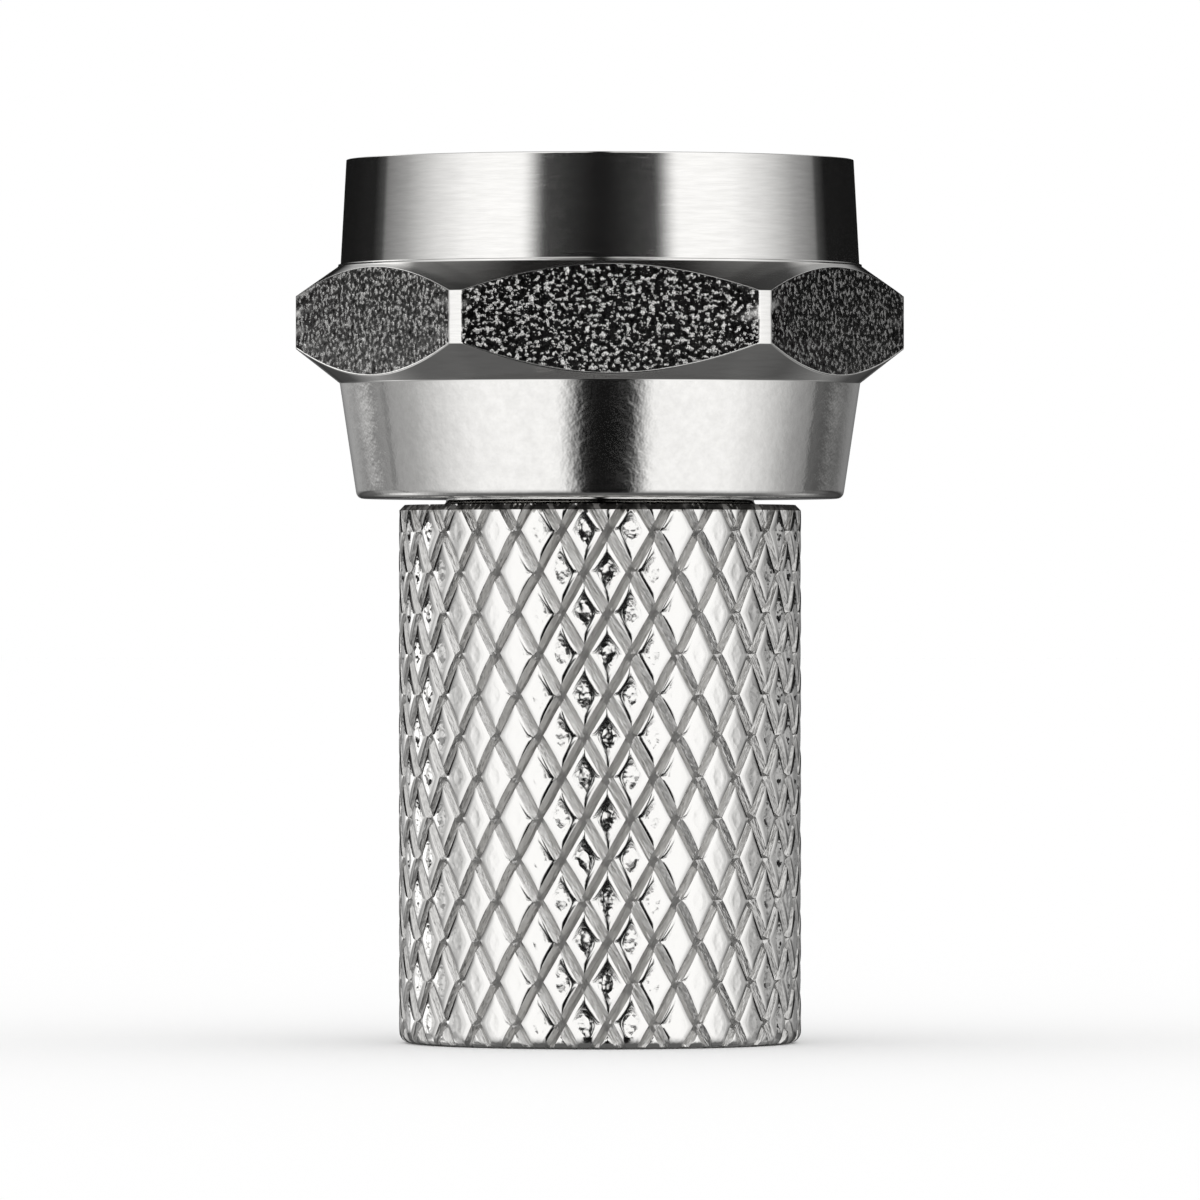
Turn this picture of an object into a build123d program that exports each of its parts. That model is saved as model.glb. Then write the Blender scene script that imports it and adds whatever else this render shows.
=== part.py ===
from build123d import *
import math
import os

# Screw-on coaxial plug for a 7 mm cable, standing on the open end of its sleeve, in millimetres.
# It has two pieces: a knurled sleeve that screws onto the cable, and a wide hexagonal coupling
# nut that spins freely on the sleeve's neck, held there by the neck's rolled-out rim.

# Sleeve: the knurled barrel and the stepped bore the cable enters
sleeve_diameter = 9.8
sleeve_length = 13.1
foot_bevel = 0.22
shoulder_bevel = 0.1
jacket_bore_diameter = 6.7
jacket_bore_depth = 10.9
jacket_mouth_diameter = 7.8
core_bore_diameter = 4.9

# Knurl: two crossed sets of helical grooves leave staggered columns of diamond studs
knurl_count = 27
knurl_angle = 30.0
knurl_depth = 0.17
crown_share = 0.72
base_share = 0.98
base_burial = 0.02
crown_inset = 0.005
lowest_whole_diamond = 1.58

# Neck of the sleeve and the rolled rim that holds the nut
neck_diameter = 7.5
rim_diameter = 8.5
rim_thickness = 0.9
rim_bevel = 0.25
rim_countersink = 0.6
running_clearance = 0.08
nut_lift = 0.15
rim_clearance = 0.1

# Outside of the coupling nut: turned collar at the mouth, hexagonal band, tapered cast skirt
nut_length = 8.25
across_flats = 13.0
across_corners = 14.82
collar_mouth_diameter = 12.36
collar_base_diameter = 12.64
collar_height = 2.6
collar_ledge = 0.06
upper_cone_angle = 35.0
corner_height = 1.28
lower_cone_angle = 38.0
skirt_top_diameter = 12.68
skirt_draft = 8.5
skirt_rounding = 0.2

# Inside of the coupling nut
thread_crest_diameter = 8.8
mouth_bevel = 0.45
relief_diameter = 9.7
relief_height = 1.4
nut_floor_thickness = 1.5
hole_bevel = 0.12

# Sizes that follow from the ones above
root_radius = sleeve_diameter / 2 - knurl_depth
nut_bottom = sleeve_length + nut_lift
nut_top = nut_bottom + nut_length
nut_floor = nut_bottom + nut_floor_thickness
rim_underside = nut_floor + rim_clearance
rim_face = rim_underside + rim_thickness


def slope(angle):
    """Rise per unit of run at an angle in degrees."""
    return math.tan(math.radians(angle))


row_pitch = math.pi * sleeve_diameter / knurl_count / slope(knurl_angle)


def turned(points):
    """A solid of revolution about the plug's axis from (radius, height) corners."""
    outline = make_face(Plane.XZ * Polyline(*points, close=True))
    return revolve(outline, Axis.Z)


def post(diameter, bottom, top):
    """A plain cylinder on the plug's axis between two heights."""
    aligned = (Align.CENTER, Align.CENTER, Align.MIN)
    return Pos(Z=bottom) * Cylinder(diameter / 2, top - bottom, align=aligned)


def ring_edge(body, place):
    """A body's circular edge by its place in height, 0 the lowest and -1 the highest."""
    return body.edges().filter_by(GeomType.CIRCLE).sort_by(Axis.Z)[place]


def many_sided(radius, sides):
    """A solid barrel of the sleeve's length with flat sides, one of them facing -Y."""
    turn = -90 - 180 / sides
    return extrude(RegularPolygon(radius, sides, False, turn), sleeve_length)


def ridge_width(share, distance):
    """Width of a ridge between two grooves, from its share of the knurl's pitch there."""
    return 2 * share * distance * slope(180 / knurl_count) * math.cos(math.radians(knurl_angle))


def knurl_stud():
    """One stud: the crossing of two tapered ridges, one of each hand of the knurl."""
    half_cell = math.radians(180 / knurl_count)
    crown_reach = sleeve_diameter / 2 - crown_inset
    crown_distance = crown_reach * math.cos(crown_share * half_cell)
    base_distance = root_radius * math.cos(base_share * half_cell) - base_burial
    half_crown = ridge_width(crown_share, crown_distance) / 2
    half_base = ridge_width(base_share, base_distance) / 2
    profile = [
        (-half_base, -base_distance),
        (half_base, -base_distance),
        (half_crown, -crown_distance),
        (-half_crown, -crown_distance),
    ]
    ridge = extrude(make_face(Polyline(*profile, close=True)), row_pitch, both=True)
    return Rot(Y=knurl_angle) * ridge & Rot(Y=-knurl_angle) * ridge


def knurl_studs():
    """Every stud that reaches the sleeve, each second column half a row lower than the first."""
    stud = knurl_stud()
    reach = base_share * row_pitch / 2
    studs = []
    for column in range(2 * knurl_count):
        height = lowest_whole_diamond - row_pitch * (1 + column % 2 / 2)
        while height - reach < sleeve_length:
            if height + reach > foot_bevel:
                studs.append(Rot(Z=column * 180 / knurl_count) * Pos(Z=height) * stud)
            height += row_pitch
    return studs


def knurled_barrel():
    """The knurl on its root barrel, trimmed by an outside with one flat to each column."""
    outside = many_sided(sleeve_diameter / 2, 2 * knurl_count)
    outside = chamfer(outside.edges().group_by(Axis.Z)[0], foot_bevel)
    outside = chamfer(outside.edges().group_by(Axis.Z)[-1], shoulder_bevel)
    root = many_sided(root_radius, knurl_count)
    return (root + knurl_studs()) & outside


def neck_and_rim():
    """The neck the nut turns on, with the rolled rim at its end."""
    rim = post(rim_diameter, rim_underside, rim_face)
    rim = chamfer(ring_edge(rim, -1), rim_bevel)
    return post(neck_diameter, sleeve_length, rim_underside) + rim


def cable_passage():
    """The space for the cable: jacket bore from the foot, then a cone and the core bore."""
    mouth_radius = jacket_mouth_diameter / 2
    jacket_radius = jacket_bore_diameter / 2
    core_radius = core_bore_diameter / 2
    points = [
        (0, 0),
        (mouth_radius, 0),
        (jacket_radius, mouth_radius - jacket_radius),
        (jacket_radius, jacket_bore_depth),
        (core_radius, jacket_bore_depth + jacket_radius - core_radius),
        (core_radius, rim_face - rim_countersink),
        (core_radius + rim_countersink, rim_face),
        (0, rim_face),
    ]
    return turned(points)


def knurled_sleeve():
    """The whole sleeve: knurled barrel, neck and rim, bored through."""
    return knurled_barrel() + neck_and_rim() - cable_passage()


def nut_outside():
    """The nut's solid outside: a turned profile cut to a hexagon at its widest band."""
    ledge_radius = collar_base_diameter / 2 + collar_ledge
    corner_radius = across_corners / 2
    skirt_radius = skirt_top_diameter / 2
    collar_bottom = nut_top - collar_height
    corner_top = collar_bottom - (corner_radius - ledge_radius) * slope(upper_cone_angle)
    corner_bottom = corner_top - corner_height
    skirt_top = corner_bottom - (corner_radius - skirt_radius) * slope(lower_cone_angle)
    skirt_bottom_radius = skirt_radius - (skirt_top - nut_bottom) * slope(skirt_draft)
    points = [
        (0, nut_top),
        (collar_mouth_diameter / 2, nut_top),
        (collar_base_diameter / 2, collar_bottom),
        (ledge_radius, collar_bottom),
        (corner_radius, corner_top),
        (corner_radius, corner_bottom),
        (skirt_radius, skirt_top),
        (skirt_bottom_radius, nut_bottom),
        (0, nut_bottom),
    ]
    body = turned(points)
    body = fillet(ring_edge(body, 0), skirt_rounding)
    hexagon = RegularPolygon(across_flats / 2, 6, major_radius=False)
    prism = Pos(Z=nut_bottom) * extrude(hexagon, nut_length)
    return body & prism


def nut_inside():
    """The space in the nut: neck hole, wide chamber for the rim, thread and bevelled mouth."""
    hole_radius = neck_diameter / 2 + running_clearance
    relief_radius = relief_diameter / 2
    thread_radius = thread_crest_diameter / 2
    thread_bottom = nut_floor + relief_height
    points = [
        (0, nut_bottom),
        (hole_radius + hole_bevel, nut_bottom),
        (hole_radius, nut_bottom + hole_bevel),
        (hole_radius, nut_floor - hole_bevel),
        (hole_radius + hole_bevel, nut_floor),
        (relief_radius, nut_floor),
        (relief_radius, thread_bottom),
        (thread_radius, thread_bottom),
        (thread_radius, nut_top - mouth_bevel),
        (thread_radius + mouth_bevel, nut_top),
        (0, nut_top),
    ]
    return turned(points)


def coupling_nut():
    """The whole coupling nut."""
    return nut_outside() - nut_inside()


os.makedirs("parts", exist_ok=True)
export_step(knurled_sleeve(), "parts/knurled_sleeve.step")
export_step(coupling_nut(), "parts/coupling_nut.step")
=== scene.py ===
"""Looks of a screw-on coaxial plug: a nickel-plated coupling nut on a diamond-knurled sleeve.

Shapes are worked out in millimetres, on the plug's own axis, and written to the meshes in metres.
"""

import math

import bmesh
import bpy
import numpy as np
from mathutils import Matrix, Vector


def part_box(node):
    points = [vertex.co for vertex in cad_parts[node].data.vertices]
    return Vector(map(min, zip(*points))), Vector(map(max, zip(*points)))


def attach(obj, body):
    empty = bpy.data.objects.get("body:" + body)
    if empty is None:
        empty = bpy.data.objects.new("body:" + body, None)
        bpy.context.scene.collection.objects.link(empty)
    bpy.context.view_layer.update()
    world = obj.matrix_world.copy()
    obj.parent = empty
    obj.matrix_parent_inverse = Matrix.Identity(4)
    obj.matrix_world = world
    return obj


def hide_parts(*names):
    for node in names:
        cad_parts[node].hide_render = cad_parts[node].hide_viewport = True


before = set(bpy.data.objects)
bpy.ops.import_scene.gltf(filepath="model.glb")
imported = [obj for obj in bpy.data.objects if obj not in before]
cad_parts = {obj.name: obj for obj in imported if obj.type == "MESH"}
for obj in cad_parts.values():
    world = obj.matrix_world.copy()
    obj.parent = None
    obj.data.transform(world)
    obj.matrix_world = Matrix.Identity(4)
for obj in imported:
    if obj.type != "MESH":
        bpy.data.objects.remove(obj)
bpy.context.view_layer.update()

MM = 0.001


def node_box(name):
    """Lowest and highest corner of a CAD node in millimetres."""
    low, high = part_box(name)
    return np.array(low) / MM, np.array(high) / MM


# Sizes read from the frame
nut_low, nut_high = node_box("coupling_nut")
sleeve_high = node_box("knurled_sleeve")[1]
NUT_BOTTOM = nut_low[2]
NUT_TOP = nut_high[2]
ACROSS_FLATS = nut_high[1] - nut_low[1]
ACROSS_CORNERS = nut_high[0] - nut_low[0]
RIM_FACE = sleeve_high[2]

# Nut: turned collar, hexagonal band, tapered cast skirt
COLLAR_MOUTH_RADIUS = 6.18
COLLAR_BASE_RADIUS = 6.32
COLLAR_HEIGHT = 2.6
COLLAR_LEDGE = 0.06
LEDGE_HEIGHT = 0.05
UPPER_CONE_SLOPE = math.tan(math.radians(35))
LOWER_CONE_SLOPE = math.tan(math.radians(38))
CORNER_HEIGHT = 1.28
SKIRT_TOP_RADIUS = 6.34
SKIRT_SLOPE = math.tan(math.radians(8.5))
SKIRT_ROUNDING = 0.2

# Inside of the nut. Its profile starts and ends at the seam radius, on the mouth's flat face.
THREAD_CREST_RADIUS = 4.4
THREAD_ROOT_RADIUS = 4.76
THREAD_PITCH = 25.4 / 32
THREAD_CREST_SHARE = 1 / 4
THREAD_RUNOUT = 0.05
MOUTH_BEVEL = 0.45
SEAM_RADIUS = 5.6
RELIEF_RADIUS = 4.85
RELIEF_HEIGHT = 1.4
NUT_FLOOR = NUT_BOTTOM + 1.5
NECK_HOLE_RADIUS = 3.83
HOLE_BEVEL = 0.12

# Roundings of the nut's edges. The soft one is that of the hexagon's upright edges.
LEDGE_EASE = 0.01
FLAT_TOP_EASE = 0.015
TURNED_EASE = 0.02
HOLE_EASE = 0.03
EDGE_EASE = 0.05
CHAMBER_EASE = 0.1
UPRIGHT_SOFTNESS = 0.006

# Columns of points round the nut, in degrees: even across a flat, then close together beside its
# upright edge, then over the corner's land, where the band comes near the corner circle
FLAT_COLUMNS = 79
FLAT_MARGIN = 0.5
EDGE_COLUMNS = [-0.3, -0.15, 0.0, 0.15, 0.3]
LAND_COLUMNS = 6
LAND_MARGIN = 0.45
LAND_TOLERANCE = 0.01

# Rows of points down the nut: each corner of its profile gives its steps and a guard row on
# either side. The flat follows the fifth corner and the skirt the seventh.
CORNER_STEPS = 6
ROWS_PER_CORNER = CORNER_STEPS + 2
FLAT_ROW = 5 * ROWS_PER_CORNER
RELIEF_ROWS = 24
FLAT_FACES = slice(FLAT_ROW, FLAT_ROW + RELIEF_ROWS + 1)
SKIRT_FACES = slice(RELIEF_ROWS + 7 * ROWS_PER_CORNER, RELIEF_ROWS + 8 * ROWS_PER_CORNER)

# How far a rounding and its guard row go along the shorter side beside a corner, at most
CORNER_REACH_LIMIT = 0.4
GUARD = 0.02
GUARD_LIMIT = 0.05

# Low waves that blasting leaves on the flats, deepest towards their upright edges
WAVE_HEIGHT = 0.004
WAVE_LENGTHS = (0.35, 1.4)
WAVE_COUNT = 24
WAVE_CALM = 0.03
WAVE_GATHER = 12
WAVE_FADE = 0.3
WAVE_SEED = 11

# Sleeve
SLEEVE_RADIUS = 4.9
SLEEVE_TOP = 13.1
FOOT_ROUNDING = 0.3
FOOT_LOOPS = [0.05, 0.14, FOOT_ROUNDING]
SHOULDER_BEVEL = 0.14
NECK_FILLET = 0.12
NECK_RADIUS = 3.75
RIM_RADIUS = 4.25
RIM_UNDERSIDE = 14.85
RIM_ROUNDING = 0.3
RIM_EASE = 0.1
RIM_COUNTERSINK = 0.6
CORE_BORE_RADIUS = 2.45
JACKET_CREST_RADIUS = 3.35
JACKET_ROOT_RADIUS = 3.62
JACKET_DEPTH = 10.9
JACKET_MOUTH_RADIUS = 3.9
JACKET_PITCH = 1.3
JACKET_CREST_SHARE = 1 / 8
JACKET_THREAD_START = 0.7 * JACKET_PITCH
BORE_EASE = 0.05

# The sleeve's core inside its knurl: its grid, and how far its ends lie inside the knurl's
CORE_COLUMNS = 120
CORE_STEPS = 5
FOOT_MARGIN = 0.05
SHOULDER_MARGIN = 0.1
CUT_TOLERANCE = 1e-8
LEVEL_TOLERANCE = 1e-7

# Ridges of the two inside threads. Run-in is in turns, and the root's half width in pitches.
RIDGE_STEPS_PER_TURN = 96
RIDGE_RUN_IN = 0.35
RIDGE_END_SHARE = 0.02
RIDGE_HALF_ROOT = 0.44
RIDGE_CORNER_SHARE = 0.93
RIDGE_BURIAL = 0.03

# Knurl, with grooves of two hands: a runs down to the right, b up to the right and deeper
KNURL_COUNT = 27
KNURL_ANGLE = math.radians(30)
KNURL_DEPTH = 0.17
LOWEST_WHOLE_DIAMOND = 1.58
NORMAL_PITCH = 2 * math.pi * SLEEVE_RADIUS / KNURL_COUNT * math.cos(KNURL_ANGLE)
ROW_PITCH = NORMAL_PITCH / math.sin(KNURL_ANGLE)
A_HALF_WIDTH = 0.135
A_CUT = 0.72
B_HALF_WIDTH = 0.11
B_CUT = 1.0
BRINK = 0.82
BRINK_DROP = 0.34

# Crowns of the knurl's studs. The tables hold one random number for each stud.
CROWN_RISE = 0.025
CROWN_PEAK = 0.31
CROWN_BULGE = 1.5
DISH_DEPTH = 0.026
DISH_SPREAD = 0.5
STUD_LEAN = 0.016
STUD_TABLE = 64
STUD_SEED = 5

# Wander of the grooves: height, count of waves, their range round the sleeve and up it
WANDER = 0.007
WANDER_WAVES = 14
WANDER_AROUND = (2, 40)
WANDER_UP = 1.6
A_WANDER_SEED = 1
B_WANDER_SEED = 2

# Lines of the knurl's lattice, as shares of a groove's half width and of the crown's
FLANK_LINES = [0, BRINK, 0.98]
CROWN_LINES = [0.03, 0.25, 0.37, 0.66]

# Shifts that give each groove, and each hand, its own part of the scores' pattern
GROOVE_SHIFT = 3
HAND_SHIFT = 200

# Order of the materials on the nut and on the sleeve
NUT_TURNED, NUT_BLASTED, NUT_CAST = range(3)
SLEEVE_BRIGHT, SLEEVE_ROLLED, SLEEVE_TURNED, SLEEVE_PAINTED_SHADE = range(4)
SHARP_SLEEVE_EDGE = math.radians(35)
SHARP_RIDGE_EDGE = math.radians(25)

# Patterns of the finishes. The turning tool's lines are as far apart as its feed, and one keeps
# its height for about a millimetre round the plug.
TURNED_FEED = 0.08
TURNED_RUN = 0.9
TURNED_BUMP = 0.0009
# Blasting grit leaves pits of 0.05 to 0.1 mm, which would blur to grey in the render, so the
# grain is drawn a little coarser.
GRAIN_WIDTH = 0.12
GRAIN_HEIGHT = 0.11
GRAIN_RISE = (0.55, 0.8)
GRAIN_BUMP = 0.013
# The mould's waves are millimetres long. Its pits of about 0.1 mm are drawn more than twice as
# wide, so that they show.
MOULD_WAVE = 2.2
MOULD_WAVE_BUMP = 0.02
MOULD_PIT = 0.25
MOULD_PIT_BUMP = 0.004
# The bar's drawn skin left on the studs, and how far in past the crown's rim it is whole
SKIN_MOTTLE = 0.2
SKIN_BUMP = 0.015
SKIN_RIM_SHARE = 0.05
SKIN_FADE = 0.25
# Scores of the roller's teeth, across and along the groove. Real ones are a few hundredths of a
# millimetre wide and are drawn at twice that, so that they show.
SCORE_WIDTH = 0.0625
SCORE_LENGTH = 0.4
SCORE_BUMP = 0.04
# Where most of a noise's values begin and end
NOISE_LOW = 0.3
NOISE_HIGH = 0.7

# Floor: half its width, and how far it lies under the foot
FLOOR_HALF = 2000
FLOOR_DROP = 0.002

# Camera: level, at the height and distance of the photograph's
CAMERA_AZIMUTH = -2.2
CAMERA_DISTANCE = 306
CAMERA_HEIGHT = 10.785
FRAME_WIDTH = 29.24

# Light that gloss sees, as brightness against degrees. Bearings run from the camera to both sides
# and heights from the horizon up. Panels stand left and right, with a dark gap round the camera.
PANEL_LEVEL = 1.4
SKY_LEVEL = 1.0
GAP_HALF_BY_HEIGHT = [
    (-60, 10), (-14, 10), (-10, 2), (0.1, 2), (0.7, 22), (2.4, 22), (3.4, 8), (4.8, 8),
    (5.8, 24), (10, 24), (12, 2), (60, 1),
]
GAP_SOFTNESS_BY_HEIGHT = [(-20, 13), (-14, 13), (-10, 6), (0.1, 6), (0.7, 13), (10, 12), (12, 6)]
GAP_TURN_BY_HEIGHT = [(-20, 3), (-14, 3), (-10, 0), (11, 0)]
PANEL_BY_BEARING = [
    (0, 1), (50, 1), (62, 0.95), (78, 0.72), (88, 0.54), (98, 0.34), (112, 0.18), (114, 0.05),
    (122, 0),
]
PANEL_BY_HEIGHT = [
    (-60, 0), (-45, 0.3), (-30, 0.7), (-20, 0.88), (-8, 0.95), (30, 0.97), (50, 0.6), (62, 0.1),
    (66, 0),
]
BACK_BY_BEARING = [
    (92, 0), (111, 0.5), (113, 0.2), (116, 1), (130, 1), (142, 0.4), (160, 0.3), (178, 0.1),
]
BACK_BY_HEIGHT = [
    (-60, 0.6), (-32, 1), (-20, 0.22), (-12, 0.21), (-7, 0.13), (-2.5, 0.8), (0.3, 0.95),
    (0.8, 0.01), (2, 0.004), (12, 0.004), (20, 1.3), (36, 1.3), (43, 0.2), (60, 0.1),
]
BACK_LEAN = 0.58
FILL_BY_HEIGHT = [
    (-90, 0.1), (-58, 0.1), (-47, 0.01), (-20, 0.005), (30, 0.005), (56, 0.012), (80, 0.012),
    (90, 0.02),
]


def linear(hex_colour):
    """sRGB hex to a linear colour with alpha 1."""
    channels = [int(hex_colour[i : i + 2], 16) / 255 for i in (1, 3, 5)]
    return [c / 12.92 if c <= 0.04045 else ((c + 0.055) / 1.055) ** 2.4 for c in channels] + [1.0]


def feed(tree, target, inputs):
    """Give a node's inputs, by name or place, a plain value, a socket or a node's first output."""
    for name, source in inputs.items():
        if isinstance(source, bpy.types.Node):
            source = source.outputs[0]
        if isinstance(source, bpy.types.NodeSocket):
            tree.links.new(source, target.inputs[name])
        else:
            target.inputs[name].default_value = source


def node(tree, kind, inputs=(), stops=(), **settings):
    """A new node with its settings, its inputs and, on a ramp, its stops as (place, colour)."""
    made = tree.nodes.new(kind)
    for name, value in settings.items():
        setattr(made, name, value)
    if stops:
        elements = made.color_ramp.elements
        while len(elements) < len(stops):
            elements.new(0.5)
        for element, (place, colour) in zip(elements, stops):
            element.position = place
            element.color = colour
    feed(tree, made, dict(inputs))
    return made


def write_mesh(name, points, faces, slots=None, smooth=True):
    """A mesh object from points in millimetres and faces as lists of point numbers."""
    mesh = bpy.data.meshes.new(name)
    mesh.from_pydata((points * MM).tolist(), [], faces)
    if slots is not None:
        mesh.polygons.foreach_set("material_index", slots)
    mesh.polygons.foreach_set("use_smooth", np.full(len(mesh.polygons), smooth))
    mesh.update()
    made = bpy.data.objects.new(name, mesh)
    bpy.context.scene.collection.objects.link(made)
    return made


def eased(corners, radii, steps):
    """Rows of a profile whose corners are rounded by small parabolas, with a guard row beside each.

    corners is (columns, points, 2) as radius and height, and radii gives each inner point's
    rounding. A corner of turn a is replaced between the two places r*tan(a/2) from it, by the
    sum of the way back times (1 - s)^2 and the way ahead times s^2.
    """
    rows = [corners[:, 0]]
    for i in range(1, corners.shape[1] - 1):
        point = corners[:, i]
        back = corners[:, i - 1] - point
        ahead = corners[:, i + 1] - point
        back_length = np.linalg.norm(back, axis=1, keepdims=True)
        ahead_length = np.linalg.norm(ahead, axis=1, keepdims=True)
        back = back / back_length
        ahead = ahead / ahead_length
        shorter = np.minimum(back_length, ahead_length)
        turn = math.pi - np.arccos(np.clip((back * ahead).sum(1, keepdims=True), -1, 1))
        reach = np.minimum(radii[i] * np.tan(turn / 2), CORNER_REACH_LIMIT * shorter)
        guard = np.minimum(GUARD, GUARD_LIMIT * shorter)
        rows.append(point + back * (reach + guard))
        for s in np.linspace(0, 1, steps):
            rows.append(point + back * reach * (1 - s) ** 2 + ahead * reach * s**2)
        rows.append(point + ahead * (reach + guard))
    rows.append(corners[:, -1])
    return np.stack(rows, axis=1)


def grid_faces(columns, rows, closed_rows=False):
    """Quads of a grid that wraps round in its columns, and in its rows too if they close."""
    c = np.arange(columns)[:, None]
    r = np.arange(rows if closed_rows else rows - 1)[None, :]
    next_c = (c + 1) % columns
    next_r = (r + 1) % rows
    quads = np.stack(
        [c * rows + r, next_c * rows + r, next_c * rows + next_r, c * rows + next_r], axis=-1
    )
    return quads.reshape(-1, 4)


def around(angles, profile):
    """Points of a profile (columns, rows, 2) carried round the axis at each column's angle."""
    radius = profile[..., 0]
    x = radius * np.cos(angles)[:, None]
    y = radius * np.sin(angles)[:, None]
    return np.stack([x, y, profile[..., 1]], axis=-1)


def nut_columns():
    """Angles of the nut's columns: even along each flat, close together at its two edges."""
    edge = math.degrees(math.acos(ACROSS_FLATS / ACROSS_CORNERS))
    flat_end = math.tan(math.radians(edge - FLAT_MARGIN))
    across = np.degrees(np.arctan(np.linspace(-1, 1, FLAT_COLUMNS) * flat_end))
    near = np.array(EDGE_COLUMNS)
    land = np.linspace(edge + LAND_MARGIN, 60 - edge - LAND_MARGIN, LAND_COLUMNS)
    sector = np.concatenate([across, edge + near, land, 60 - edge + near])
    return np.radians(np.concatenate([sector + 60 * k - 90 for k in range(6)]))


def off_flat_middle(angles):
    """Angle from the middle of the nearest flat, from -30 to 30 degrees in radians."""
    return (angles + math.radians(120)) % math.radians(60) - math.radians(30)


def band_radius(angles, dip=0):
    """Plan radius of the hexagonal band: the flats' distance over cos, or the corner circle.

    The smaller of the two is taken with a soft minimum, which eases the upright edges. The flats
    lie lower by dip.
    """
    flat = (ACROSS_FLATS / 2 - dip) / np.cos(off_flat_middle(angles))
    corner = np.full_like(flat, ACROSS_CORNERS / 2)
    return -UPRIGHT_SOFTNESS * np.logaddexp(-flat / UPRIGHT_SOFTNESS, -corner / UPRIGHT_SOFTNESS)


def flat_waves(angles, z):
    """Low waves of the blasted flats: sine waves of random length and bearing on the unrolled nut."""
    rng = np.random.default_rng(WAVE_SEED)
    along = angles[:, None] * ACROSS_FLATS / 2
    total = np.zeros_like(along + z)
    for _ in range(WAVE_COUNT):
        length = rng.uniform(*WAVE_LENGTHS)
        bearing = rng.uniform(0, math.pi)
        phase = (along * math.cos(bearing) + z * math.sin(bearing)) * 2 * math.pi / length
        total += np.sin(phase + rng.uniform(0, 2 * math.pi))
    return WAVE_HEIGHT * total / math.sqrt(WAVE_COUNT / 2)


def with_relief(profile, angles):
    """The profile with more rows down the flats, which lie lower by the waves.

    The waves fade out towards the flats' top and bottom edges as a half sine to the power
    WAVE_FADE. Across a flat they grow from the share WAVE_CALM in its middle to 1 at its corners,
    with the angle to the power WAVE_GATHER.
    """
    top = profile[:, FLAT_ROW]
    bottom = profile[:, FLAT_ROW + 1]
    share = np.linspace(0, 1, RELIEF_ROWS + 2)[None, 1:-1]
    z = top[:, 1:] + (bottom - top)[:, 1:] * share
    fade = np.sin(math.pi * share) ** WAVE_FADE
    aside = np.abs(off_flat_middle(angles))[:, None] / math.radians(30)
    ends = WAVE_CALM + (1 - WAVE_CALM) * aside**WAVE_GATHER
    dip = np.maximum(flat_waves(angles, z) + WAVE_HEIGHT, 0) * fade * ends
    rows = np.stack([band_radius(angles[:, None], dip), z], axis=-1)
    return np.concatenate([profile[:, : FLAT_ROW + 1], rows, profile[:, FLAT_ROW + 1 :]], axis=1)


def nut_corners(band):
    """Corners of the nut's profile as radius, height and rounding, down its outside and up inside.

    band is the hexagonal band's radius in each column. Where it is smaller, the flat cuts the
    cones further from the collar and the skirt, so its top and bottom follow the cones' slopes.
    """
    collar_bottom = NUT_TOP - COLLAR_HEIGHT
    ledge = COLLAR_BASE_RADIUS + COLLAR_LEDGE
    corner_radius = ACROSS_CORNERS / 2
    corner_bottom = collar_bottom - (corner_radius - ledge) * UPPER_CONE_SLOPE - CORNER_HEIGHT
    skirt_top = corner_bottom - (corner_radius - SKIRT_TOP_RADIUS) * LOWER_CONE_SLOPE
    skirt_bottom_radius = SKIRT_TOP_RADIUS - (skirt_top - NUT_BOTTOM) * SKIRT_SLOPE
    flat_top = collar_bottom - (band - ledge) * UPPER_CONE_SLOPE
    flat_bottom = corner_bottom - (corner_radius - band) * LOWER_CONE_SLOPE
    hole = NECK_HOLE_RADIUS
    thread_bottom = NUT_FLOOR + RELIEF_HEIGHT
    mouth_radius = THREAD_CREST_RADIUS + MOUTH_BEVEL
    thread_top = NUT_TOP - mouth_radius + THREAD_ROOT_RADIUS
    return [
        (SEAM_RADIUS, NUT_TOP, 0),
        (COLLAR_MOUTH_RADIUS, NUT_TOP, TURNED_EASE),
        (COLLAR_BASE_RADIUS, collar_bottom + LEDGE_HEIGHT, TURNED_EASE),
        (ledge, collar_bottom + LEDGE_HEIGHT, LEDGE_EASE),
        (ledge, collar_bottom, LEDGE_EASE),
        (band, flat_top, FLAT_TOP_EASE),
        (band, flat_bottom, EDGE_EASE),
        (SKIRT_TOP_RADIUS, skirt_top, EDGE_EASE),
        (skirt_bottom_radius, NUT_BOTTOM, SKIRT_ROUNDING),
        (hole + HOLE_BEVEL, NUT_BOTTOM, HOLE_EASE),
        (hole, NUT_BOTTOM + HOLE_BEVEL, HOLE_EASE),
        (hole, NUT_FLOOR - HOLE_BEVEL, HOLE_EASE),
        (hole + HOLE_BEVEL, NUT_FLOOR, HOLE_EASE),
        (RELIEF_RADIUS, NUT_FLOOR, CHAMBER_EASE),
        (RELIEF_RADIUS, thread_bottom, TURNED_EASE),
        (THREAD_ROOT_RADIUS, thread_bottom + THREAD_RUNOUT, TURNED_EASE),
        (THREAD_ROOT_RADIUS, thread_top, TURNED_EASE),
        (mouth_radius, NUT_TOP, TURNED_EASE),
        (SEAM_RADIUS, NUT_TOP, 0),
    ]


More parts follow.
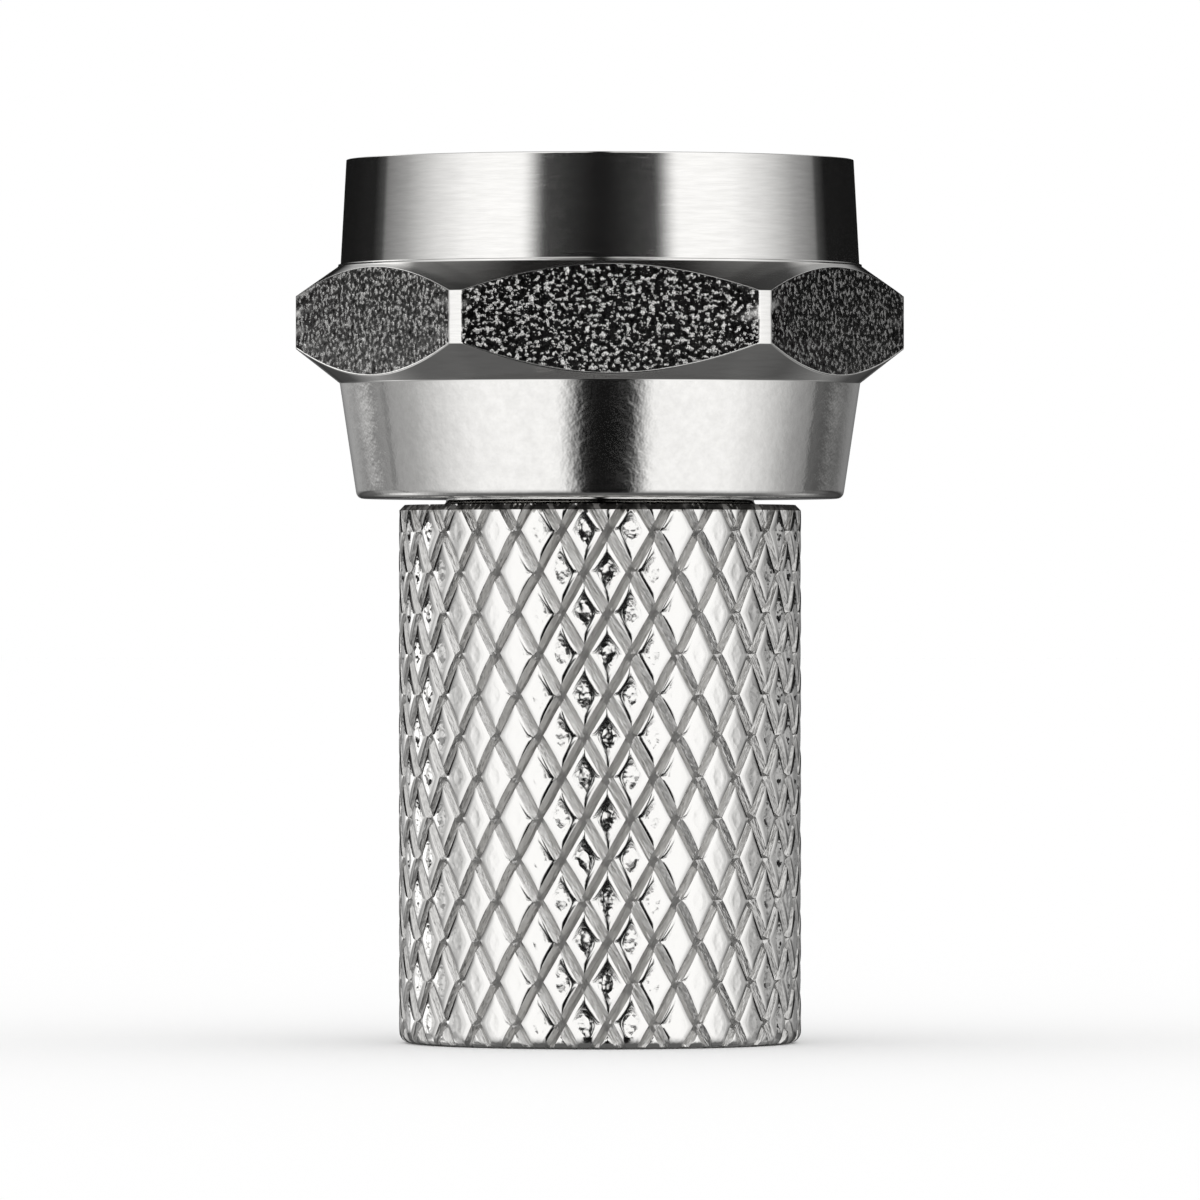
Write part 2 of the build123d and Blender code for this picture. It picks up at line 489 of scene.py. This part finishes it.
def coupling_nut():
    """The nut as one closed surface: its outside profile, then its inside, round every column."""
    angles = nut_columns()
    band = band_radius(angles)
    stations = nut_corners(band)
    one = np.ones_like(band)
    corners = np.stack([np.stack([r * one, z * one], axis=-1) for r, z, _ in stations], axis=1)
    profile = eased(corners, [ease for _, _, ease in stations], CORNER_STEPS)[:, :-1]
    profile = with_relief(profile, angles)
    rows = profile.shape[1]
    finish = np.full((len(angles), rows), NUT_TURNED, dtype=np.int32)
    on_flat = (np.roll(band, -1) + band) / 2 < ACROSS_CORNERS / 2 - LAND_TOLERANCE
    finish[:, FLAT_FACES] = np.where(on_flat, NUT_BLASTED, NUT_TURNED)[:, None]
    finish[:, SKIRT_FACES] = NUT_CAST
    return write_mesh(
        "coupling_nut_shell",
        around(angles, profile).reshape(-1, 3),
        grid_faces(len(angles), rows, closed_rows=True)[:, ::-1].tolist(),
        finish.ravel(),
    )


def ridge_points(root, crest, pitch, low, high, crest_share, bevel_start, bevel_side):
    """Points (steps, 7, 3) of a thread's ridge: a trapezoid section carried up a helix.

    root and crest are radii, low and high the heights of the ridge's middle at its ends, and
    crest_share is the crest's width in pitches. The section's height rises from nothing and sinks
    again over RIDGE_RUN_IN turns at the ends, so the ridge runs out smoothly. Its root lies a
    little inside the bore's wall. The mouth's 45 degree bevel starts at one height and opens to
    one side, and the ridge stays outside that cone.
    """
    turns = (high - low) / pitch
    t = np.linspace(0, turns, int(turns * RIDGE_STEPS_PER_TURN))[:, None]
    run = np.clip(np.minimum(t, turns - t) / RIDGE_RUN_IN, RIDGE_END_SHARE, 1)
    across = np.array([-1, -1, -0.5, 0, 0.5, 1, 1])
    depth = np.array([0, RIDGE_CORNER_SHARE, 1, 1, 1, RIDGE_CORNER_SHARE, 0])
    half = np.where(depth == 0, RIDGE_HALF_ROOT, crest_share / 2) * pitch
    wall = root + RIDGE_BURIAL
    z = low + pitch * t + across * half
    radius = wall - (run * (root - crest) + RIDGE_BURIAL) * depth
    cone = crest + bevel_side * (z - bevel_start)
    radius = np.maximum(radius, np.minimum(cone, wall))
    angle = 2 * math.pi * t
    return np.stack([radius * np.cos(angle), radius * np.sin(angle), z], axis=-1)


def helix_ridge(name, **sizes):
    """A thread's ridge, by the sizes of its points, as a closed piece with a cap at either end."""
    points = ridge_points(**sizes)
    steps, n = points.shape[:2]
    s = np.arange(steps - 1)[:, None]
    k = np.arange(n)[None, :]
    next_k = (k + 1) % n
    quads = np.stack([s * n + k, s * n + next_k, (s + 1) * n + next_k, (s + 1) * n + k], axis=-1)
    caps = [list(range(n))[::-1], list(range((steps - 1) * n, steps * n))]
    made = write_mesh(name, points.reshape(-1, 3), quads.reshape(-1, 4).tolist() + caps)
    build = bmesh.new()
    build.from_mesh(made.data)
    bmesh.ops.recalc_face_normals(build, faces=build.faces)
    build.to_mesh(made.data)
    build.free()
    made.data.set_sharp_from_angle(angle=SHARP_RIDGE_EDGE)
    return made


def groove_and_crown(place, half_width, cut):
    """One hand's groove share of the knurl's height, and its share of the way in on the crown.

    place counts grooves, with one at each whole number. The groove's sides rise by cut to 1 over
    half_width, evenly up to the brink and steeply past it, and the crown's share goes on a parabola
    from 0 there to 1 in its middle.
    """
    distance = NORMAL_PITCH * np.abs((place + 0.5) % 1 - 0.5)
    flank = np.interp(distance / half_width, [0, BRINK, 1], [0, 1 - BRINK_DROP, 1])
    inward = np.clip((distance - half_width) / (NORMAL_PITCH / 2 - half_width), 0, 1)
    return 1 - cut * (1 - flank), 1 - (1 - inward) ** 2


def knurl_height(a, b):
    """Height of the knurl above its deepest grooves, and the way in on each stud from 0 to 1.

    The lower of the two hands' groove shares counts. On the crown the way in is w, with
    1 - (1 - w)^2 the product of the two crown shares. The crown rises on a bulging slope, one less
    the rest of the way to the power CROWN_BULGE, to a rim at CROWN_PEAK of the way in. Then it
    sinks on a cosine into a dish, deeper on some studs. Each stud leans a little its own way.
    """
    groove_a, crown_a = groove_and_crown(a, A_HALF_WIDTH, A_CUT)
    groove_b, crown_b = groove_and_crown(b, B_HALF_WIDTH, B_CUT)
    inward = 1 - np.sqrt(1 - crown_a * crown_b)
    studs = np.random.default_rng(STUD_SEED).uniform(-1, 1, (3, STUD_TABLE, STUD_TABLE))
    stud = np.floor(a).astype(int) % STUD_TABLE, np.floor(b).astype(int) % STUD_TABLE
    lean_a, lean_b, deep = [table[stud] for table in studs]
    rise = 1 - (1 - np.minimum(inward / CROWN_PEAK, 1)) ** CROWN_BULGE
    sink = 0.5 - 0.5 * np.cos(math.pi * np.clip((inward - CROWN_PEAK) / (1 - CROWN_PEAK), 0, 1))
    height = (KNURL_DEPTH - CROWN_RISE) * np.minimum(groove_a, groove_b)
    height = height + CROWN_RISE * rise - DISH_DEPTH * (1 + DISH_SPREAD * deep) * sink
    lean = STUD_LEAN * (lean_a * (a % 1 - 0.5) + lean_b * (b % 1 - 0.5)) * crown_a * crown_b
    return height + lean, inward


def hand_wander(a, b, seed):
    """A slow sideways wander of one hand's lines, in pitches: a sum of sine waves."""
    rng = np.random.default_rng(seed)
    total = 0
    for _ in range(WANDER_WAVES):
        times_around = rng.integers(*WANDER_AROUND)
        up = rng.uniform(-WANDER_UP, WANDER_UP)
        wave = 2 * math.pi * (times_around * (a + b) / (2 * KNURL_COUNT) + up * (a - b) / 2)
        total = total + np.sin(wave + rng.uniform(0, 2 * math.pi))
    return WANDER * total / math.sqrt(WANDER_WAVES / 2)


def turned_to_outline(points):
    """Points drawn in to the sleeve's outline where they stand out: rounded foot, bevelled shoulder."""
    z = np.clip(points[:, 2], 0, SLEEVE_TOP)
    into_foot = np.clip(FOOT_ROUNDING - z, 0, FOOT_ROUNDING)
    foot = SLEEVE_RADIUS - FOOT_ROUNDING + np.sqrt(FOOT_ROUNDING**2 - into_foot**2)
    shoulder = SLEEVE_RADIUS - np.clip(z - (SLEEVE_TOP - SHOULDER_BEVEL), 0, None)
    outline = np.minimum(foot, shoulder)
    share = np.minimum(outline / np.hypot(points[:, 0], points[:, 1]), 1)
    return np.column_stack([points[:, :2] * share[:, None], points[:, 2]])


def lattice_places(half_width):
    """Places of one hand's lattice lines over one pitch, close together on flank and crown edge."""
    crown = NORMAL_PITCH / 2 - half_width
    lines = [half_width * share for share in FLANK_LINES]
    lines += [half_width + crown * share for share in CROWN_LINES]
    half = np.array(lines) / NORMAL_PITCH
    return np.concatenate([half, [0.5], 1 - half[:0:-1]])


def groove_spans(places, half_width):
    """Whether each span from one lattice line to the next lies in the groove."""
    middle = (places + np.append(places[1:], 1)) / 2
    return NORMAL_PITCH * np.minimum(middle, 1 - middle) < half_width


def groove_run(a, b):
    """Millimetres across and along the nearer groove, shifted from groove to groove."""
    from_a = NORMAL_PITCH * ((a + 0.5) % 1 - 0.5)
    from_b = NORMAL_PITCH * ((b + 0.5) % 1 - 0.5)
    nearer_a = np.abs(from_a) / A_HALF_WIDTH < np.abs(from_b) / B_HALF_WIDTH
    across_a = from_a + GROOVE_SHIFT * np.round(a)
    across_b = from_b + GROOVE_SHIFT * np.round(b) + HAND_SHIFT
    across = np.where(nearer_a, across_a, across_b)
    along = NORMAL_PITCH / math.sin(2 * KNURL_ANGLE) * np.where(nearer_a, b, a)
    return np.stack([across, along, np.zeros_like(a)], axis=-1)


def lattice_faces(levels, count):
    """Diamonds of the lattice: two neighbours of one level with the points below and above."""
    level = np.arange(1, len(levels) - 1)[:, None]
    column = np.arange(count)[None, :]
    beside = (column + (levels[1:-1] & 1)) % count
    corners = [
        level * count + column,
        (level - 1) * count + beside,
        level * count + (column + 1) % count,
        (level + 1) * count + beside,
    ]
    return np.stack(corners, axis=-1).reshape(-1, 4)


def knurl_lattice():
    """The knurled surface as a lattice whose two families of lines follow the two hands of groove.

    Point (i, j) lies i lines along one family and j along the other, so its angle follows the sum
    of their places and its height the difference. The lines crowd together on the grooves' flanks.
    """
    places_a = lattice_places(A_HALF_WIDTH)
    places_b = lattice_places(B_HALF_WIDTH)
    m = len(places_a)
    levels = np.arange(-2 * m, int((SLEEVE_TOP / ROW_PITCH + 1) * 2 * m))[:, None]
    count = KNURL_COUNT * m
    along = 2 * np.arange(count)[None, :] + (levels & 1)
    i = (along + levels) // 2
    j = (along - levels) // 2
    a = i // m + places_a[i % m]
    b = j // m + places_b[j % m]
    height, inward = knurl_height(a, b)
    radius = SLEEVE_RADIUS - KNURL_DEPTH + height
    a = a + hand_wander(a, b, A_WANDER_SEED)
    b = b + hand_wander(a, b, B_WANDER_SEED)
    z = LOWEST_WHOLE_DIAMOND + ROW_PITCH * (a - b - 1) / 2
    angle = math.pi * (a + b) / KNURL_COUNT - math.pi / 2
    points = np.stack([radius * np.cos(angle), radius * np.sin(angle), z], axis=-1)
    in_a = groove_spans(places_a, A_HALF_WIDTH)[i % m]
    in_b = groove_spans(places_b, B_HALF_WIDTH)[j % m]
    slots = np.where(in_a | in_b, SLEEVE_ROLLED, SLEEVE_BRIGHT)[1:-1].astype(np.int32)
    faces = lattice_faces(levels, count)
    return points.reshape(-1, 3), faces, slots.ravel(), inward, groove_run(a, b)


def sleeve_core():
    """The sleeve inside its knurl as one profile carried round: foot, bore, rim, neck, shoulder."""
    jacket_step = JACKET_ROOT_RADIUS - CORE_BORE_RADIUS
    stations = [
        (SLEEVE_RADIUS - FOOT_ROUNDING - FOOT_MARGIN, 0, 0),
        (JACKET_MOUTH_RADIUS, 0, BORE_EASE),
        (JACKET_ROOT_RADIUS, JACKET_MOUTH_RADIUS - JACKET_ROOT_RADIUS, BORE_EASE),
        (JACKET_ROOT_RADIUS, JACKET_DEPTH, BORE_EASE),
        (CORE_BORE_RADIUS, JACKET_DEPTH + jacket_step, BORE_EASE),
        (CORE_BORE_RADIUS, RIM_FACE - RIM_COUNTERSINK, RIM_EASE),
        (CORE_BORE_RADIUS + RIM_COUNTERSINK, RIM_FACE, RIM_EASE),
        (RIM_RADIUS, RIM_FACE, RIM_ROUNDING),
        (RIM_RADIUS, RIM_UNDERSIDE, BORE_EASE),
        (NECK_RADIUS, RIM_UNDERSIDE, BORE_EASE),
        (NECK_RADIUS, SLEEVE_TOP, NECK_FILLET),
        (SLEEVE_RADIUS - KNURL_DEPTH - SHOULDER_MARGIN, SLEEVE_TOP, 0),
    ]
    angles = np.linspace(0, 2 * math.pi, CORE_COLUMNS, endpoint=False)
    corners = np.array([(r, z) for r, z, _ in stations], dtype=float)
    corners = np.repeat(corners[None], CORE_COLUMNS, axis=0)
    profile = eased(corners, [ease for _, _, ease in stations], CORE_STEPS)
    points = around(angles, profile).reshape(-1, 3)
    return points, grid_faces(CORE_COLUMNS, profile.shape[1]).tolist()


def cut_at_levels(build):
    """Cut the knurl where its outline turns, and clear what lies below the foot and past the top."""
    for height in (0, *FOOT_LOOPS, SLEEVE_TOP - SHOULDER_BEVEL, SLEEVE_TOP):
        bmesh.ops.bisect_plane(
            build,
            geom=build.verts[:] + build.edges[:] + build.faces[:],
            dist=CUT_TOLERANCE,
            plane_co=(0, 0, height * MM),
            plane_no=(0, 0, 1 if height else -1),
            clear_outer=height in (0, SLEEVE_TOP),
        )


def join_at_ends(build):
    """Close the flat rings between the knurl's cut ends and the core, at foot and shoulder."""
    for height, side in ((0, -1), (SLEEVE_TOP * MM, 1)):
        rings = [
            edge
            for edge in build.edges
            if edge.is_boundary
            and all(abs(v.co.z - height) < LEVEL_TOLERANCE for v in edge.verts)
        ]
        bmesh.ops.triangle_fill(build, edges=rings, normal=(0, 0, side), use_beauty=True)


def knurl_and_core():
    """Knurl and core as one closed surface, joined by flat rings at the foot and the shoulder.

    The attribute inward is the way in on each stud, 0 at its edge and 1 in its middle, and run lies
    along the grooves.
    """
    points, faces, slots, inward, run = knurl_lattice()
    made = write_mesh("knurled_sleeve_shell", points, faces.tolist(), slots)
    layer = made.data.attributes.new("inward", "FLOAT", "POINT")
    layer.data.foreach_set("value", inward.ravel())
    layer = made.data.attributes.new("run", "FLOAT_VECTOR", "POINT")
    layer.data.foreach_set("vector", run.ravel())
    core = write_mesh("sleeve_core", *sleeve_core())
    build = bmesh.new()
    build.from_mesh(made.data)
    cut_at_levels(build)
    knurl_faces = len(build.faces)
    build.from_mesh(core.data)
    join_at_ends(build)
    build.faces.ensure_lookup_table()
    for face in build.faces[knurl_faces:]:
        face.material_index = SLEEVE_TURNED
        face.smooth = True
    bmesh.ops.recalc_face_normals(build, faces=build.faces)
    build.to_mesh(made.data)
    build.free()
    bpy.data.objects.remove(core)
    return made


def knurled_sleeve():
    """The whole sleeve, drawn in to its outline, with the shoulder's bevel in a rough plate coloured
    dark grey as painted shade under the nut.
    """
    made = knurl_and_core()
    mesh = made.data
    places = np.zeros(3 * len(mesh.vertices))
    mesh.vertices.foreach_get("co", places)
    places = turned_to_outline(places.reshape(-1, 3) / MM) * MM
    mesh.vertices.foreach_set("co", places.ravel())
    mesh.update()
    centres = np.zeros(3 * len(mesh.polygons))
    slots = np.zeros(len(mesh.polygons), dtype=np.int32)
    mesh.polygons.foreach_get("center", centres)
    mesh.polygons.foreach_get("material_index", slots)
    # The bevel's faces take the dark grey plate, which is painted shade under the nut
    on_bevel = centres[2::3] > (SLEEVE_TOP - SHOULDER_BEVEL) * MM
    slots[(slots != SLEEVE_TURNED) & on_bevel] = SLEEVE_PAINTED_SHADE
    mesh.polygons.foreach_set("material_index", slots)
    mesh.set_sharp_from_angle(angle=SHARP_SLEEVE_EDGE)
    return made


def surface_material(name, colour, metallic, roughness):
    """A new material with its node tree and its shader, whose plain values are set."""
    material = bpy.data.materials.new(name)
    material.use_nodes = True
    tree = material.node_tree
    shader = tree.nodes["Principled BSDF"]
    feed(tree, shader, {"Base Color": linear(colour), "Metallic": metallic, "Roughness": roughness})
    return material, tree, shader


def turned_nickel(name, dark, light, roughness):
    """Nickel plate over turned zinc: fine lines round the axis, left by the tool.

    The eye sees a mirror that is sharp round the plug and drawn out along it, with faint streaks.
    """
    material, tree, shader = surface_material(name, light, metallic=1.0, roughness=roughness)
    place = node(tree, "ShaderNodeTexCoord").outputs["Object"]
    scale = (1 / (TURNED_RUN * MM), 1 / (TURNED_RUN * MM), 1 / (TURNED_FEED * MM))
    stretch = node(tree, "ShaderNodeMapping", {"Vector": place, "Scale": scale})
    lines = node(
        tree,
        "ShaderNodeTexNoise",
        {"Vector": stretch, "Scale": 1.0, "Detail": 2.0, "Roughness": 0.7},
    )
    stops = [(NOISE_LOW, linear(dark)), (NOISE_HIGH, linear(light))]
    tone = node(tree, "ShaderNodeValToRGB", {"Fac": lines}, stops)
    bump = node(
        tree, "ShaderNodeBump", {"Height": lines, "Strength": 1.0, "Distance": TURNED_BUMP * MM}
    )
    feed(tree, shader, {"Base Color": tone, "Normal": bump})
    return material


def blasted_nickel():
    """Nickel plate over sand-blasted zinc: sharp raised grains on a nearly flat ground.

    The eye sees each grain glitter by itself, on a ground that mirrors the dark round the camera and is
    coloured darker still: painted shade in the hollows between the grains.
    """
    # The near-black dark tone is painted shade in the hollows between the grains; the light tone is the
    # plate's own colour
    dark, light = "#2E2D2C", "#D8D7D5"
    material, tree, shader = surface_material(
        "blasted_nickel", light, metallic=1.0, roughness=0.07
    )
    place = node(tree, "ShaderNodeTexCoord").outputs["Object"]
    scale = (1 / (GRAIN_WIDTH * MM), 1 / (GRAIN_WIDTH * MM), 1 / (GRAIN_HEIGHT * MM))
    stretch = node(tree, "ShaderNodeMapping", {"Vector": place, "Scale": scale})
    grain = node(
        tree,
        "ShaderNodeTexNoise",
        {"Vector": stretch, "Scale": 1.0, "Detail": 2.5, "Roughness": 0.6},
    )
    stops = [(NOISE_LOW, linear(dark)), (NOISE_HIGH, linear(light))]
    tone = node(tree, "ShaderNodeValToRGB", {"Fac": grain}, stops)
    foot, peak = GRAIN_RISE
    grains = node(
        tree, "ShaderNodeMapRange", {"Value": grain, "From Min": foot, "From Max": peak}
    )
    bump = node(
        tree, "ShaderNodeBump", {"Height": grains, "Strength": 1.0, "Distance": GRAIN_BUMP * MM}
    )
    feed(tree, shader, {"Base Color": tone, "Normal": bump})
    return material


def cast_nickel():
    """Nickel plate over a smooth casting: slow waves from the mould, and fine pits.

    The eye sees a soft mirror whose edges waver, with a faint mottle.
    """
    dark, light = "#D5D4D2", "#DFDEDC"
    material, tree, shader = surface_material("cast_nickel", light, metallic=1.0, roughness=0.11)
    place = node(tree, "ShaderNodeTexCoord").outputs["Object"]
    waves = node(
        tree,
        "ShaderNodeTexNoise",
        {"Vector": place, "Scale": 1 / (MOULD_WAVE * MM), "Detail": 1.0, "Roughness": 0.5},
    )
    pits = node(
        tree,
        "ShaderNodeTexNoise",
        {"Vector": place, "Scale": 1 / (MOULD_PIT * MM), "Detail": 2.0, "Roughness": 0.7},
    )
    slow = node(
        tree, "ShaderNodeBump", {"Height": waves, "Strength": 1.0, "Distance": MOULD_WAVE_BUMP * MM}
    )
    fine = node(
        tree,
        "ShaderNodeBump",
        {"Height": pits, "Normal": slow, "Strength": 1.0, "Distance": MOULD_PIT_BUMP * MM},
    )
    stops = [(NOISE_LOW, linear(dark)), (NOISE_HIGH, linear(light))]
    tone = node(tree, "ShaderNodeValToRGB", {"Fac": pits}, stops)
    feed(tree, shader, {"Base Color": tone, "Normal": fine})
    return material


def bright_nickel():
    """Nickel plate over the knurl's crowns: a rolled smooth rim round the drawn bar's own skin.

    The eye sees a bright edge round each stud and a mottled middle, so the mottle grows with the
    way in.
    """
    material, tree, shader = surface_material(
        "bright_nickel", "#DEDDDB", metallic=1.0, roughness=0.1
    )
    place = node(tree, "ShaderNodeTexCoord").outputs["Object"]
    mottle = node(
        tree,
        "ShaderNodeTexNoise",
        {"Vector": place, "Scale": 1 / (SKIN_MOTTLE * MM), "Detail": 1.0, "Roughness": 0.5},
    )
    inward = node(tree, "ShaderNodeAttribute", attribute_name="inward").outputs["Fac"]
    skin = node(
        tree,
        "ShaderNodeMapRange",
        {
            "Value": inward,
            "From Min": CROWN_PEAK,
            "From Max": CROWN_PEAK + SKIN_FADE,
            "To Min": SKIN_RIM_SHARE,
        },
    )
    height = node(tree, "ShaderNodeMath", {0: mottle, 1: skin}, operation="MULTIPLY")
    bump = node(
        tree, "ShaderNodeBump", {"Height": height, "Strength": 1.0, "Distance": SKIN_BUMP * MM}
    )
    feed(tree, shader, {"Normal": bump})
    return material


def rolled_nickel():
    """Nickel plate in the knurl's grooves, which the roller's teeth have scored along.

    The eye sees satin grey flanks with fine streaks. The attribute run holds millimetres across
    the groove and along it, so the scores are long.
    """
    material, tree, shader = surface_material(
        "rolled_nickel", "#C8C7C5", metallic=1.0, roughness=0.28
    )
    run = node(tree, "ShaderNodeAttribute", attribute_name="run").outputs["Vector"]
    scale = (1 / SCORE_WIDTH, 1 / SCORE_LENGTH, 1)
    stretch = node(tree, "ShaderNodeMapping", {"Vector": run, "Scale": scale})
    scores = node(
        tree,
        "ShaderNodeTexNoise",
        {"Vector": stretch, "Scale": 1.0, "Detail": 2.0, "Roughness": 0.6},
    )
    bump = node(
        tree, "ShaderNodeBump", {"Height": scores, "Strength": 1.0, "Distance": SCORE_BUMP * MM}
    )
    feed(tree, shader, {"Normal": bump})
    return material


def read_off(tree, source, stops):
    """A value read off straight lines between (place, value) stops: a grey ramp times its highest."""
    low = stops[0][0]
    high = stops[-1][0]
    top = max(value for _, value in stops)
    share = node(tree, "ShaderNodeMapRange", {"Value": source, "From Min": low, "From Max": high})
    greys = [((at - low) / (high - low), [value / top] * 3 + [1]) for at, value in stops]
    ramp = node(tree, "ShaderNodeValToRGB", {"Fac": share}, greys)
    return node(tree, "ShaderNodeMath", {0: ramp, 1: top}, operation="MULTIPLY")


def studio_gloss(tree):
    """Brightness that gloss sees in a direction: two soft panels, a back light and a faint fill.

    Panel = a soft step past the dark gap's edge, times its share by bearing. The back light takes
    over where the panels end, brighter to the left. Both fade by height, where the fill is added.
    """
    direction = node(tree, "ShaderNodeTexCoord").outputs["Generated"]
    turn = -math.radians(CAMERA_AZIMUTH)
    faced = node(
        tree, "ShaderNodeVectorRotate", {"Vector": direction, "Angle": turn}, rotation_type="Z_AXIS"
    )
    x, y, z = node(tree, "ShaderNodeSeparateXYZ", {"Vector": faced}).outputs
    height = node(tree, "ShaderNodeMath", {0: z}, operation="ARCSINE")
    height = node(tree, "ShaderNodeMath", {0: height}, operation="DEGREES")
    toward = node(tree, "ShaderNodeMath", {0: y, 1: -1.0}, operation="MULTIPLY")
    bearing = node(tree, "ShaderNodeMath", {0: x, 1: toward}, operation="ARCTAN2")
    bearing = node(tree, "ShaderNodeMath", {0: bearing}, operation="DEGREES")
    gap_turn = read_off(tree, height, GAP_TURN_BY_HEIGHT)
    bearing = node(tree, "ShaderNodeMath", {0: bearing, 1: gap_turn}, operation="SUBTRACT")
    bearing = node(tree, "ShaderNodeMath", {0: bearing}, operation="ABSOLUTE")

    gap_half = read_off(tree, height, GAP_HALF_BY_HEIGHT)
    past_gap = node(tree, "ShaderNodeMath", {0: bearing, 1: gap_half}, operation="SUBTRACT")
    softness = read_off(tree, height, GAP_SOFTNESS_BY_HEIGHT)
    step = node(
        tree,
        "ShaderNodeMapRange",
        {"Value": past_gap, "From Max": softness},
        interpolation_type="SMOOTHSTEP",
    )
    panel_share = read_off(tree, bearing, PANEL_BY_BEARING)
    panel = node(tree, "ShaderNodeMath", {0: step, 1: panel_share}, operation="MULTIPLY")

    lean = node(tree, "ShaderNodeMath", {0: x, 1: -BACK_LEAN, 2: 1.0}, operation="MULTIPLY_ADD")
    back_share = read_off(tree, bearing, BACK_BY_BEARING)
    back = node(tree, "ShaderNodeMath", {0: back_share, 1: lean}, operation="MULTIPLY")
    back_fade = read_off(tree, height, BACK_BY_HEIGHT)
    back = node(tree, "ShaderNodeMath", {0: back, 1: back_fade}, operation="MULTIPLY")

    lit = node(tree, "ShaderNodeMath", {0: panel, 1: back}, operation="ADD")
    lit_fade = read_off(tree, height, PANEL_BY_HEIGHT)
    lit = node(tree, "ShaderNodeMath", {0: lit, 1: lit_fade}, operation="MULTIPLY")
    fill = read_off(tree, height, FILL_BY_HEIGHT)
    return node(tree, "ShaderNodeMath", {0: lit, 1: fill}, operation="ADD")


def studio_world():
    """A studio that gloss sees as soft panels, the camera as plain white and the floor as sky."""
    world = bpy.data.worlds.new("studio")
    bpy.context.scene.world = world
    world.use_nodes = True
    tree = world.node_tree
    tree.nodes.clear()
    white = (1, 1, 1, 1)
    panels = {"Color": studio_gloss(tree), "Strength": PANEL_LEVEL}
    gloss = node(tree, "ShaderNodeBackground", panels)
    sky = node(tree, "ShaderNodeBackground", {"Color": white, "Strength": SKY_LEVEL})
    backdrop = node(tree, "ShaderNodeBackground", {"Color": white, "Strength": 1.0})
    rays = node(tree, "ShaderNodeLightPath").outputs
    unseen = node(tree, "ShaderNodeMixShader", {0: rays["Is Glossy Ray"], 1: sky, 2: gloss})
    seen = node(tree, "ShaderNodeMixShader", {0: rays["Is Camera Ray"], 1: unseen, 2: backdrop})
    node(tree, "ShaderNodeOutputWorld", {"Surface": seen})


def floor():
    """A wide white card as floor, just under the foot: matt, and not seen by the plug's gloss."""
    square = np.array([[-1, -1, 0], [1, -1, 0], [1, 1, 0], [-1, 1, 0]], float)
    points = FLOOR_HALF * square - [0, 0, FLOOR_DROP]
    made = write_mesh("floor", points, [[0, 1, 2, 3]], smooth=False)
    material, tree, shader = surface_material(
        "white_card", "#FFFFFF", metallic=0.0, roughness=1.0
    )
    feed(tree, shader, {"Specular IOR Level": 0.0})
    made.data.materials.append(material)
    made.visible_glossy = False


def camera():
    """A level camera at the photograph's distance, facing the axis at the plug's mid height."""
    data = bpy.data.cameras.new("camera")
    data.sensor_width = 36
    data.lens = data.sensor_width * CAMERA_DISTANCE / FRAME_WIDTH
    data.clip_start = 0.01
    data.clip_end = 20
    made = bpy.data.objects.new("camera", data)
    bpy.context.scene.collection.objects.link(made)
    bearing = math.radians(CAMERA_AZIMUTH)
    made.location = (
        math.sin(bearing) * CAMERA_DISTANCE * MM,
        -math.cos(bearing) * CAMERA_DISTANCE * MM,
        CAMERA_HEIGHT * MM,
    )
    made.rotation_euler = (math.pi / 2, 0, bearing)
    bpy.context.scene.camera = made


bpy.context.scene.view_settings.view_transform = "Standard"
camera()
studio_world()
floor()

turned = turned_nickel("turned_nickel", "#D5D4D2", "#E0DFDD", roughness=0.09)
# The shoulder's bevel shows as a dark line under the nut, so its plate is rougher and coloured dark
# grey: painted shade of the gap under the nut
matt = turned_nickel("painted_shade_nickel", "#504F4E", "#6B6A68", roughness=0.3)
blasted = blasted_nickel()
cast = cast_nickel()
bright = bright_nickel()
rolled = rolled_nickel()

nut = coupling_nut()
for material in (turned, blasted, cast):
    nut.data.materials.append(material)
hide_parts("coupling_nut")
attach(nut, "nut")

nut_thread = helix_ridge(
    "nut_thread",
    root=THREAD_ROOT_RADIUS,
    crest=THREAD_CREST_RADIUS,
    pitch=THREAD_PITCH,
    low=NUT_FLOOR + RELIEF_HEIGHT + THREAD_PITCH / 2,
    high=NUT_TOP - THREAD_PITCH / 2,
    crest_share=THREAD_CREST_SHARE,
    bevel_start=NUT_TOP - MOUTH_BEVEL,
    bevel_side=1,
)
nut_thread.data.materials.append(turned)
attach(nut_thread, "nut")

sleeve = knurled_sleeve()
for material in (bright, rolled, turned, matt):
    sleeve.data.materials.append(material)
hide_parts("knurled_sleeve")
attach(sleeve, "plug_body")

cable_thread = helix_ridge(
    "cable_thread",
    root=JACKET_ROOT_RADIUS,
    crest=JACKET_CREST_RADIUS,
    pitch=JACKET_PITCH,
    low=JACKET_THREAD_START,
    high=JACKET_DEPTH - JACKET_PITCH / 2,
    crest_share=JACKET_CREST_SHARE,
    bevel_start=JACKET_MOUTH_RADIUS - JACKET_CREST_RADIUS,
    bevel_side=-1,
)
cable_thread.data.materials.append(turned)
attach(cable_thread, "plug_body")
